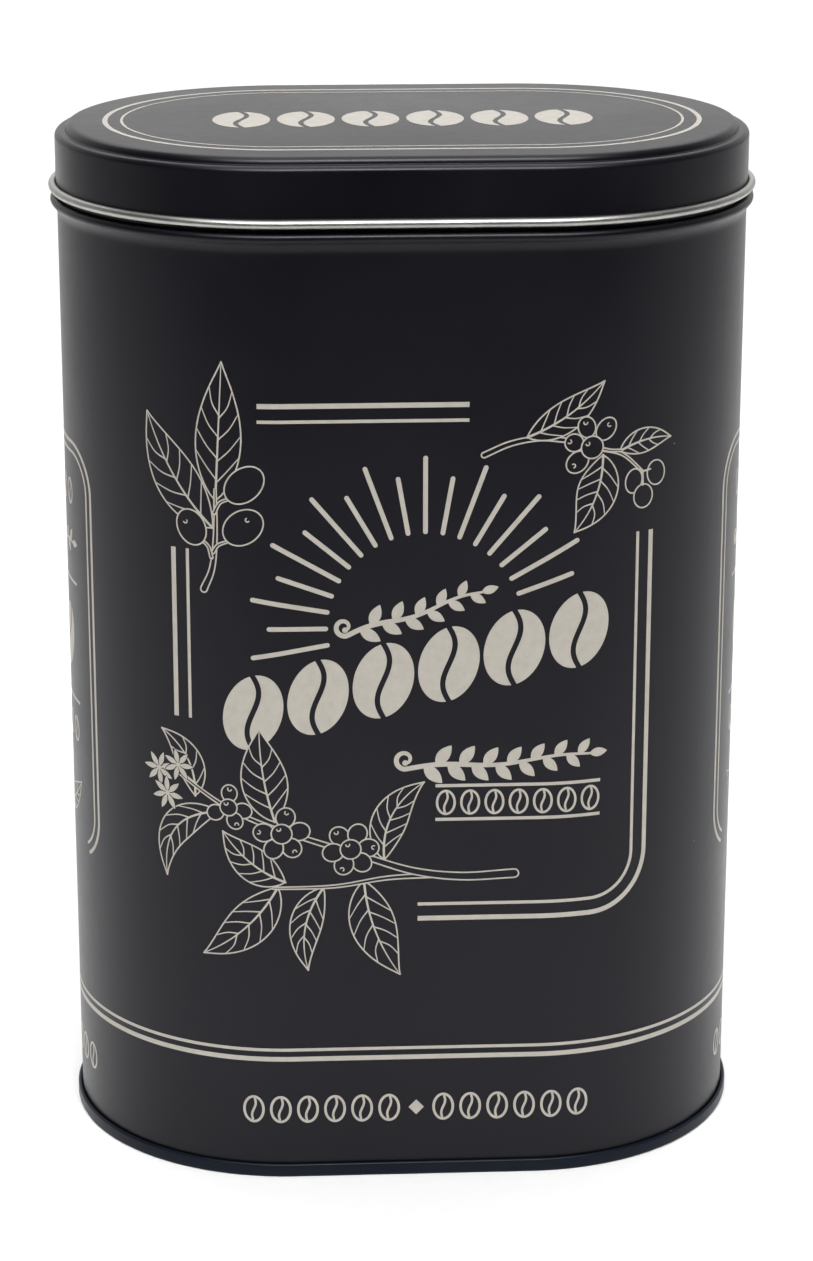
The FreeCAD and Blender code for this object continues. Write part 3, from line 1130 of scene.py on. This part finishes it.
def make_print():
    """Every printed piece: the same picture on front and back, the same frame on both round ends."""
    for face, middle in (("front", FRONT), ("back", BACK)):
        wall_ink(face + "_panel_rules", panel_rules(), middle)
        wall_ink(face + "_sunburst", sunburst(), middle)
        branch_and_beans = bold_beans()
        lower_garland(branch_and_beans)
        low_branch(branch_and_beans)
        wall_ink(face + "_bold_beans_and_branch", branch_and_beans, middle)
        wall_ink(face + "_upper_garland", upper_garland(), middle)
        wall_ink(face + "_ruled_beans", ruled_beans(), middle)
        wall_ink(face + "_left_sprig", left_sprig(), middle)
        wall_ink(face + "_right_sprig", right_sprig(), middle)
        wall_ink(face + "_base_bean_row", base_row(13, 0.5), middle)
    for end, middle in (("left", LEFT), ("right", RIGHT)):
        wall_ink(end + "_side_rules", side_rules(), middle)
        wall_ink(end + "_side_ornament", side_ornament(), middle)
        wall_ink(end + "_base_bean_row", base_row(7), middle)
    ink_band("upper_band_rule", 25.96, THIN_RULE)
    ink_band("lower_band_rule", 24.05, THICK_RULE)
    lid_ink("lid_rules", lid_rules())
    lid_ink("lid_bold_beans", lid_beans())


# ======== Camera, floor and light ========

CAMERA_AT = (-34.83, -661.09, 310.4)
CAMERA_YAW = -0.05389  # radians, turned left from looking along +Y
CAMERA_PITCH = -0.31252
CAMERA_ROLL = 0.0009
LENS = 101.14
SENSOR = 36.0  # along the picture's longer side
PAPER_REACH = 4000.0
PAPER_FRONT = 500.0
ROOM_DIM = 0.03  # the room's brightness in front
ROOM_WHITE = 0.8  # and at the back
ROOM_DIM_Y = -0.1  # the part along +Y of the last dim direction
ROOM_WHITE_Y = 0.9  # and of the first white one
ROOM_SEEN = 0.75  # its least brightness where the camera sees it


def make_camera():
    """A long lens a little above the tin and to its left, looking down at it."""
    data = bpy.data.cameras.new("camera")
    data.sensor_width = SENSOR
    data.lens = LENS
    data.clip_end = 50.0
    camera = bpy.data.objects.new("camera", data)
    bpy.context.scene.collection.objects.link(camera)
    yaw, pitch = CAMERA_YAW, CAMERA_PITCH
    forward = Vector((-math.sin(yaw) * math.cos(pitch), math.cos(yaw) * math.cos(pitch), math.sin(pitch)))
    level = Vector((math.cos(yaw), math.sin(yaw), 0.0))
    above = level.cross(forward)
    right = level * math.cos(CAMERA_ROLL) + above * math.sin(CAMERA_ROLL)
    up = above * math.cos(CAMERA_ROLL) - level * math.sin(CAMERA_ROLL)
    turned = Matrix((right, up, -forward)).transposed().to_4x4()
    camera.matrix_world = Matrix.Translation(Vector(CAMERA_AT) * MM) @ turned
    bpy.context.scene.camera = camera


def make_floor():
    """A wide sheet of pale paper under the tin, which ends in front of it, short of the camera."""
    corners = [
        (-PAPER_REACH, -PAPER_FRONT),
        (PAPER_REACH, -PAPER_FRONT),
        (PAPER_REACH, PAPER_REACH),
        (-PAPER_REACH, PAPER_REACH),
    ]
    mesh = bpy.data.meshes.new("paper_floor")
    mesh.from_pydata([Vector((x, y, 0.0)) * MM for x, y in corners], [], [(0, 1, 2, 3)])
    mesh.materials.append(PAPER)
    floor = bpy.data.objects.new("paper_floor", mesh)
    bpy.context.scene.collection.objects.link(floor)


def soft_light(name, at, size, aim, power, spread):
    """A rectangular soft light aimed at a point, with a grid that keeps it within spread degrees."""
    data = bpy.data.lights.new(name, "AREA")
    data.shape = "RECTANGLE"
    data.size, data.size_y = size[0] * MM, size[1] * MM
    data.energy = power
    data.spread = math.radians(spread)
    light = bpy.data.objects.new(name, data)
    light.location = Vector(at) * MM
    facing = Vector(aim) - Vector(at)
    light.rotation_euler = facing.to_track_quat("-Z", "Y").to_euler()
    bpy.context.scene.collection.objects.link(light)


def make_light():
    """Soft light from above, from high in front, and on the floor behind the tin and beside it."""
    soft_light(
        "overhead_softbox", at=(0, 0, 1100), size=(900, 1100), aim=(0, 0, 0), power=2.4, spread=110
    )
    soft_light(
        "high_front_softbox", at=(0, -800, 1250), size=(1500, 500), aim=(0, 0, 100), power=4.4, spread=60
    )
    soft_light(
        "back_softbox", at=(0, 1500, 1400), size=(2400, 1200), aim=(0, 1400, 0), power=16, spread=120
    )
    for side, way in (("left", -1), ("right", 1)):
        at, aim = (way * 1900, -300, 1400), (way * 2000, -300, 0)
        soft_light(side + "_softbox", at=at, size=(1200, 2400), aim=aim, power=4, spread=80)


def make_room():
    """A room that is white at the back and dim in front, and pale wherever the camera sees it."""
    world = bpy.data.worlds.new("pale_room")
    world.use_nodes = True
    tree = world.node_tree
    background = tree.nodes["Background"]
    background.inputs["Color"].default_value = (1.0, 1.0, 1.0, 1.0)
    direction = add_node(tree, "ShaderNodeTexCoord").outputs["Generated"]
    away = add_node(tree, "ShaderNodeSeparateXYZ", Vector=direction).outputs["Y"]
    seen = add_node(tree, "ShaderNodeLightPath").outputs["Is Camera Ray"]
    glow = stretch(tree, away, ROOM_DIM_Y, ROOM_WHITE_Y, ROOM_DIM, ROOM_WHITE)
    pale = multiply(tree, seen, ROOM_SEEN)
    strength = add_node(tree, "ShaderNodeMath", {"operation": "MAXIMUM"}, i0=glow, i1=pale).outputs[0]
    tree.links.new(strength, background.inputs["Strength"])
    bpy.context.scene.world = world


make_camera()
make_body()
make_bottom_end()
colour_compound()
make_lid()
make_print()
make_floor()
make_light()
make_room()
bpy.context.scene.view_settings.view_transform = "Standard"
